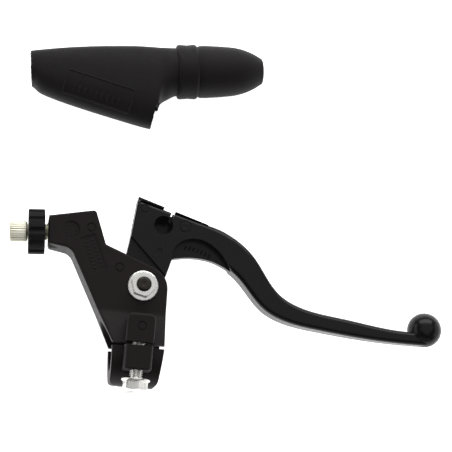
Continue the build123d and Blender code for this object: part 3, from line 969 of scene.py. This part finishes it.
@dataclass
class DustCover:
    """The moulded rubber cover for the perch's arm and the pivot, in millimetres.

    Its body is lofted between an upper and a lower edge, and a round neck runs into it. Both are closed
    solids at first. They are melted together, cut open at the three mouths and given a wall.
    """

    upper: tuple[Point, ...] = (
        (-66, 135.3), (-57.6, 137.7), (-40.6, 141.4), (-23.3, 144.1), (-7.9, 145.8), (1.0, 146.2)
    )
    lower: tuple[Point, ...] = (
        (-66, 121.5), (-58.9, 120.6), (-56, 118.1), (-48.9, 115.7), (-37.8, 113.0), (-18.5, 109.1),
        (-3.3, 106.4), (0.3, 106.0), (0.7, 116.9), (2.0, 119.4), (5.3, 121.8),
    )
    middle_z: float = -8.7
    half_depth: float = 11.0
    tip_half_depth: float = 9.0
    neck_radius: float = 11.5
    neck_start: float = 9.0
    neck_beyond: float = 14.0
    left_mouth: tuple[Point, Point] = ((-61.6, 136.4), (-59.3, 122.0))
    clamp_mouth: tuple[Point, Point] = ((0.4, 117.0), (-0.9, 106.0))
    melt: float = 0.9
    smoothing: int = 12
    wall: float = 1.8
    flash: float = 0.3
    panel_centre: Point = (-27.9, 119.2)
    panel_length: float = 32.2
    panel_width: float = 10.6
    panel_turn: float = -11.9

    @staticmethod
    def edge_at(edge: Sequence[Point], x: float) -> float:
        """Read an edge's height at x, on a curve through its points that never overshoots them."""
        k = next(i for i, point in enumerate(edge) if point[0] >= x)
        k = max(1, k)
        steps = [(b[1] - a[1]) / (b[0] - a[0]) for a, b in zip(edge, edge[1:])]

        def slope(i: int) -> float:
            """Give the slope at a point: the gentle mean of its two sides, or flat at a turn."""
            before, after = steps[max(0, i - 1)], steps[min(len(steps) - 1, i)]
            return 2 * before * after / (before + after) if before * after > 0 else 0.0

        (x0, y0), (x1, y1) = edge[k - 1], edge[k]
        run = x1 - x0
        t = (x - x0) / run
        rise = (y1 - y0) * (3 * t**2 - 2 * t**3)
        return y0 + rise + run * ((t**3 - 2 * t**2 + t) * slope(k - 1) + (t**3 - t**2) * slope(k))

    def body(self, neck_end: Vector, axis: Vector) -> bpy.types.Object:
        """Loft the closed body from section to section, ending in the round neck.

        Args:
            neck_end: The middle of the neck's end.
            axis: The neck's axis, towards the sleeve.

        Returns:
            The closed body.
        """
        points: list[Sequence[float]] = []
        faces: list[Sequence[int]] = []
        upper, lower = list(self.upper), list(self.lower)
        for x in (self.neck_start, self.neck_beyond):
            middle = (neck_end.y / MM) + (x - neck_end.x / MM) * axis.y / axis.x
            reach = self.neck_radius / axis.x
            upper.append((x, middle + reach))
            lower.append((x, middle - reach))
        first, last = upper[0][0], upper[-1][0]
        sections, around = 106, 56
        for step in range(sections + 1):
            share = step / sections
            x = first + (last - first) * share
            high, low = self.edge_at(upper, x), self.edge_at(lower, x)
            lobe = min(1.0, max(0.0, (self.neck_start - x) / 9))
            depth = self.tip_half_depth + (self.half_depth - self.tip_half_depth) * min(1.0, share * 1.3)
            depth = depth * lobe + self.neck_radius * (1 - lobe)
            squareness = 1 - 0.28 * lobe
            for turn in range(around):
                angle = math.tau * turn / around
                across = math.copysign(abs(math.cos(angle)) ** squareness, math.cos(angle))
                out = math.copysign(abs(math.sin(angle)) ** squareness, math.sin(angle))
                y = (high + low) / 2 + (high - low) / 2 * across
                thin = 1 - 0.2 * lobe * max(0.0, -across) ** 2
                points.append((x * MM, y * MM, (self.middle_z + depth * out * thin) * MM))
            if step:
                base = (step - 1) * around
                faces.extend(
                    (base + k, base + (k + 1) % around, base + around + (k + 1) % around, base + around + k)
                    for k in range(around)
                )
        faces.append(tuple(range(around)))
        faces.append(tuple(range(sections * around, (sections + 1) * around)))
        return mesh_object("dust_cover_soft", points, faces)

    @staticmethod
    def cut(shell: bmesh.types.BMesh, at: Vector, out: Vector, below: Callable[[Vector], bool]) -> None:
        """Open the shell at a plane.

        Args:
            shell: The mesh to cut.
            at: A point on the plane.
            out: The way out of the opening.
            below: Tells whether a face centre past the plane belongs to the part that is cut away.
        """
        everything = [*shell.verts, *shell.edges, *shell.faces]
        bmesh.ops.bisect_plane(shell, geom=everything, plane_co=at, plane_no=out, dist=1e-7)
        gone = [
            face
            for face in shell.faces
            if (face.calc_center_median() - at).dot(out) > 1e-6 and below(face.calc_center_median())
        ]
        bmesh.ops.delete(shell, geom=gone, context="FACES")

    def soften(self) -> bpy.types.Object:
        """Melt body and neck together, cut the mouths open and give the rubber its wall."""
        pull = next(j for j in frame["record"]["behaviour"]["joints"] if j["name"] == "sleeve_pull")
        axis = Vector(pull["axis"])
        neck_end = seat("boot_sleeve", axis) @ Vector((0, 0, BootSleeve.spigot_length * MM))
        made = self.body(neck_end, axis)
        remesh = made.modifiers.new("melt", "REMESH")
        remesh.mode = "VOXEL"
        remesh.voxel_size = self.melt * MM
        relax = made.modifiers.new("relax", "SMOOTH")
        relax.factor = 0.5
        relax.iterations = self.smoothing
        made.data = self.applied(made)

        shell = bmesh.new()
        shell.from_mesh(made.data)
        self.cut(shell, neck_end, axis, lambda centre: centre.y > 0.119)
        high, low = (Vector((*point, 0)) * MM for point in self.left_mouth)
        self.cut(
            shell,
            high,
            Vector((low.y - high.y, high.x - low.x, 0)).normalized(),
            lambda centre: centre.x < -0.05,
        )
        high, low = (Vector((*point, 0)) * MM for point in self.clamp_mouth)
        out = Vector((high.y - low.y, low.x - high.x, 0)).normalized()
        self.cut(shell, (high + low) / 2 - out * MM, out, lambda centre: centre.y < high.y)
        self.roughen(shell)
        bmesh.ops.recalc_face_normals(shell, faces=shell.faces)
        shell.to_mesh(made.data)
        shell.free()
        thick = made.modifiers.new("wall", "SOLIDIFY")
        thick.thickness = self.wall * MM
        thick.offset = -1
        made.data = self.applied(made)
        made.data.shade_smooth()
        made.data.set_sharp_from_angle(angle=math.radians(50))
        return made

    def roughen(self, shell: bmesh.types.BMesh) -> None:
        """Leave ragged flash along the trimmed mouths, as hand trimming does."""
        for vertex in shell.verts:
            if any(edge.is_boundary for edge in vertex.link_edges) and vertex.co.x < 0.002:
                vertex.co.x += self.flash * MM * noise.noise(vertex.co / (1.6 * MM))

    @staticmethod
    def applied(piece: bpy.types.Object) -> bpy.types.Mesh:
        """Bake a piece's modifiers into a new mesh and take them off."""
        ready = piece.evaluated_get(bpy.context.evaluated_depsgraph_get())
        mesh = bpy.data.meshes.new_from_object(ready)
        piece.modifiers.clear()
        return mesh

    def build(self) -> None:
        """Make the soft cover and emboss its plain panel on the front."""
        cover = self.soften()
        dress(cover, MOULDED_RUBBER)
        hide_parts("dust_boot")
        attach(cover, "cover")
        panel = Embossing(
            "dust_cover_panel", cover, self.panel_centre, self.panel_turn, width=0.9, height=0.35
        )
        panel.rectangle(self.panel_length, self.panel_width)
        for place in (-0.3, 0.12):
            panel.line((place * self.panel_length, self.panel_width / 2), (place * self.panel_length, 0.8))
        for step in range(9):
            place = (step - 4) * 2.7 - 1.0
            panel.line((place, -0.6), (place + 0.4, -3.6))
        panel.finish(MOULDED_RUBBER, "rubber", "cover")
        log.info("dust cover built with %d faces", len(cover.data.polygons))


@dataclass
class BootSleeve:
    """The separate rubber sleeve that closes the cover's neck round the cable, in millimetres."""

    collar_radius: float = 13.05
    collar_length: float = 9.6
    spigot_radius: float = 8.1
    spigot_length: float = 7.0
    wall: float = 2.2
    nozzle_radius: float = 12.55
    nozzle_straight: float = 16.0
    nozzle_length: float = 32.0
    tip_radius: float = 6.6
    tip_bore: float = 4.2

    def build(self) -> None:
        """Turn the soft profile round the neck's axis, slightly out of round as moulded rubber is."""
        foot = self.spigot_length
        tip = foot + self.collar_length + self.nozzle_length

        def soft(radius: float, sag: float = 0.004) -> Callable[[float], float]:
            """A radius that is a little out of round, and never larger than asked."""
            return lambda angle: radius * (1 - sag * (1 + math.sin(2 * angle + radius)))

        piece = TurnedPiece("boot_sleeve_soft", around=96)
        inner = self.spigot_radius - self.wall
        piece.to((0.4, inner), (0, inner + 0.5), (0, self.spigot_radius - 0.5), (0.5, self.spigot_radius))
        piece.to((foot + 0.1, self.spigot_radius), (foot + 0.1, soft(self.collar_radius - 1.0)))
        piece.to((foot + 0.3, soft(self.collar_radius - 0.4)), (foot + 0.8, soft(self.collar_radius - 0.05)))
        piece.to((foot + 1.6, soft(self.collar_radius)))
        collar_end = foot + self.collar_length
        piece.to((foot + self.collar_length / 2, soft(self.collar_radius - 0.25)))
        for back, below in ((1.6, 0), (0.8, 0.05), (0.3, 0.4)):
            piece.to((collar_end - back, soft(self.collar_radius - below)))
        for beyond, below in ((0, 0.5), (0.5, 0.45), (1.5, 0.05), (4, 0)):
            piece.to((collar_end + beyond, soft(self.nozzle_radius - below)))
        shoulder = collar_end + self.nozzle_straight
        piece.to((shoulder - 6, soft(self.nozzle_radius - 0.25)))
        drop = self.nozzle_radius - 0.7 - self.tip_radius
        for step in range(13):
            share = step / 12
            height = shoulder + (tip - 1.2 - shoulder) * share
            piece.to((height, soft(self.nozzle_radius - 0.7 - drop * (0.25 * share + 0.75 * share**2.2))))
        piece.to((tip - 0.5, soft(self.tip_radius - 0.35)), (tip - 0.1, soft(self.tip_radius - 1.0)))
        piece.to((tip, self.tip_bore + 0.5), (tip - 0.5, self.tip_bore), (tip - 5, self.tip_bore))
        piece.to((collar_end + 4, inner))
        made = piece.build(seat("boot_sleeve", joint_axis("sleeve_pull")))
        stand_in(made, MOULDED_RUBBER, "boot_sleeve", "sleeve")


# ----------------------------------------------------------------------------------------------- studio


@dataclass
class Studio:
    """The white board, the soft lights and the camera, in metres."""

    floor_gap: float = 0.0001
    floor_size: float = 6.0
    target: tuple[float, float, float] = (0.03676, 0.06133, 0.0)
    view_from: tuple[float, float, float] = (-0.1302, -0.2194, 1.0)
    up_hint: tuple[float, float, float] = (-0.0785, 0.9969, 0.0)
    distance: float = 0.7
    lens: float = 119.87
    world_strength: float = 0.1

    def floor(self) -> None:
        """Lay the board just under the object."""
        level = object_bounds()[0][2] - self.floor_gap
        half = self.floor_size / 2
        corners = [(-half, -half, level), (half, -half, level), (half, half, level), (-half, half, level)]
        board = mesh_object("studio_board", corners, [(0, 1, 2, 3)])
        dress(board, OPAL_ACRYLIC)
        board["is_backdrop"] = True

    def softbox(self, name: str, at: Sequence[float], size: tuple[float, float], brightness: float) -> None:
        """Hang one soft rectangular light and aim it at the object.

        Args:
            name: The light's name.
            at: Its place.
            size: Its width and height.
            brightness: How bright its face looks, where 1 is the white of the table.
        """
        data = bpy.data.lights.new(name, "AREA")
        data.shape = "RECTANGLE"
        data.size, data.size_y = size
        data.energy = brightness * math.pi * size[0] * size[1]
        lamp = bpy.data.objects.new(name, data)
        bpy.context.scene.collection.objects.link(lamp)
        lamp.location = at
        lamp.rotation_euler = (Vector(self.target) - Vector(at)).to_track_quat("-Z", "Y").to_euler()

    def lights(self) -> None:
        """Hang a wide panel overhead and brighter strips low down on every side."""
        world = bpy.data.worlds.new("studio_air")
        world.use_nodes = True
        world.node_tree.nodes["Background"].inputs["Color"].default_value = linear("#ffffff")
        world.node_tree.nodes["Background"].inputs["Strength"].default_value = self.world_strength
        bpy.context.scene.world = world
        self.softbox("panel_overhead", (0.15, 0.25, 1.6), (2.4, 2.4), 0.7)
        self.softbox("strip_behind", (0.05, 1.0, 0.6), (1.6, 0.6), 4.0)
        self.softbox("strip_left", (-1.1, 0.05, 0.3), (1.4, 0.4), 1.8)
        self.softbox("strip_right", (1.2, 0.05, 0.3), (1.4, 0.4), 1.3)
        self.softbox("strip_front", (0.05, -1.1, 0.35), (1.6, 0.4), 0.4)

    def camera(self) -> None:
        """Set the camera above the object, looking a little up the lever and to its right."""
        back = Vector(self.view_from).normalized()
        right = Vector(self.up_hint).cross(back).normalized()
        up = back.cross(right)
        data = bpy.data.cameras.new("studio_camera")
        data.lens = self.lens
        data.sensor_width = 36.0
        data.clip_start = 0.05
        made = bpy.data.objects.new("studio_camera", data)
        bpy.context.scene.collection.objects.link(made)
        turned = Matrix((right, up, back)).transposed().to_4x4()
        made.matrix_world = Matrix.Translation(Vector(self.target) + back * self.distance) @ turned
        bpy.context.scene.camera = made

    def build(self) -> None:
        """Set up the whole studio."""
        self.floor()
        self.lights()
        self.camera()
        bpy.context.scene.view_settings.view_transform = "Standard"
        log.info("studio ready")


def main() -> None:
    """Build the assembly in order."""
    logging.basicConfig(level=logging.INFO, format="%(name)s: %(message)s")
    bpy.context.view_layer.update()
    Studio().build()
    Perch().build()
    Clamp().build()
    Pivot().build()
    CableAdjuster().build()
    Lever().build()
    DustCover().build()
    BootSleeve().build()


if __name__ == "__main__":
    main()
